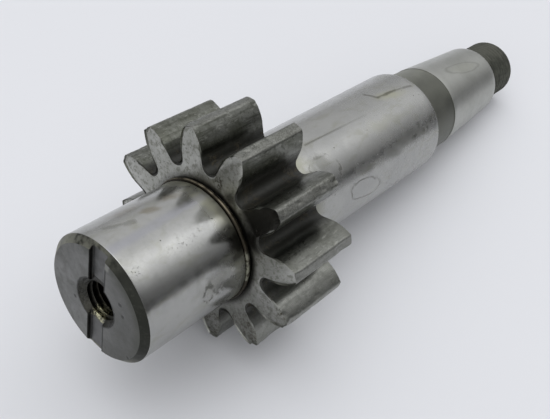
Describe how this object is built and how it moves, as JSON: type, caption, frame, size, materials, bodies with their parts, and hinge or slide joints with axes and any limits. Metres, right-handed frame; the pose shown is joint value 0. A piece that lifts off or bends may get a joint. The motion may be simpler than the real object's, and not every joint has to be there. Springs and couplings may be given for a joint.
{
  "type": "pinion shaft",
  "caption": "Steel pinion shaft: a spur pinion keyed between two ground journals, with a slotted and tapped front end, a tapered drive seat and a threaded tail.",
  "frame": {"origin": "on the shaft's axis, in the middle plane of the pinion's face width", "axes": "X along the shaft's axis, -X at the slotted end and +X at the threaded tail; two tooth tips straddle -Z"},
  "size_m": [0.1684, 0.0546, 0.0546],
  "materials": {
    "shaft_steel": "ground, with dark turned stretches",
    "pinion_steel": "satin, oily and worn",
    "key_steel": "drawn",
    "ring_steel": "spring wire with a tan stain"
  },
  "bodies": {
    "root": {"shaft": "shaft_steel", "pinion": "pinion_steel", "pinion_key": "key_steel", "front_retaining_ring": "ring_steel", "rear_retaining_ring": "ring_steel"}
  },
  "joints": []
}
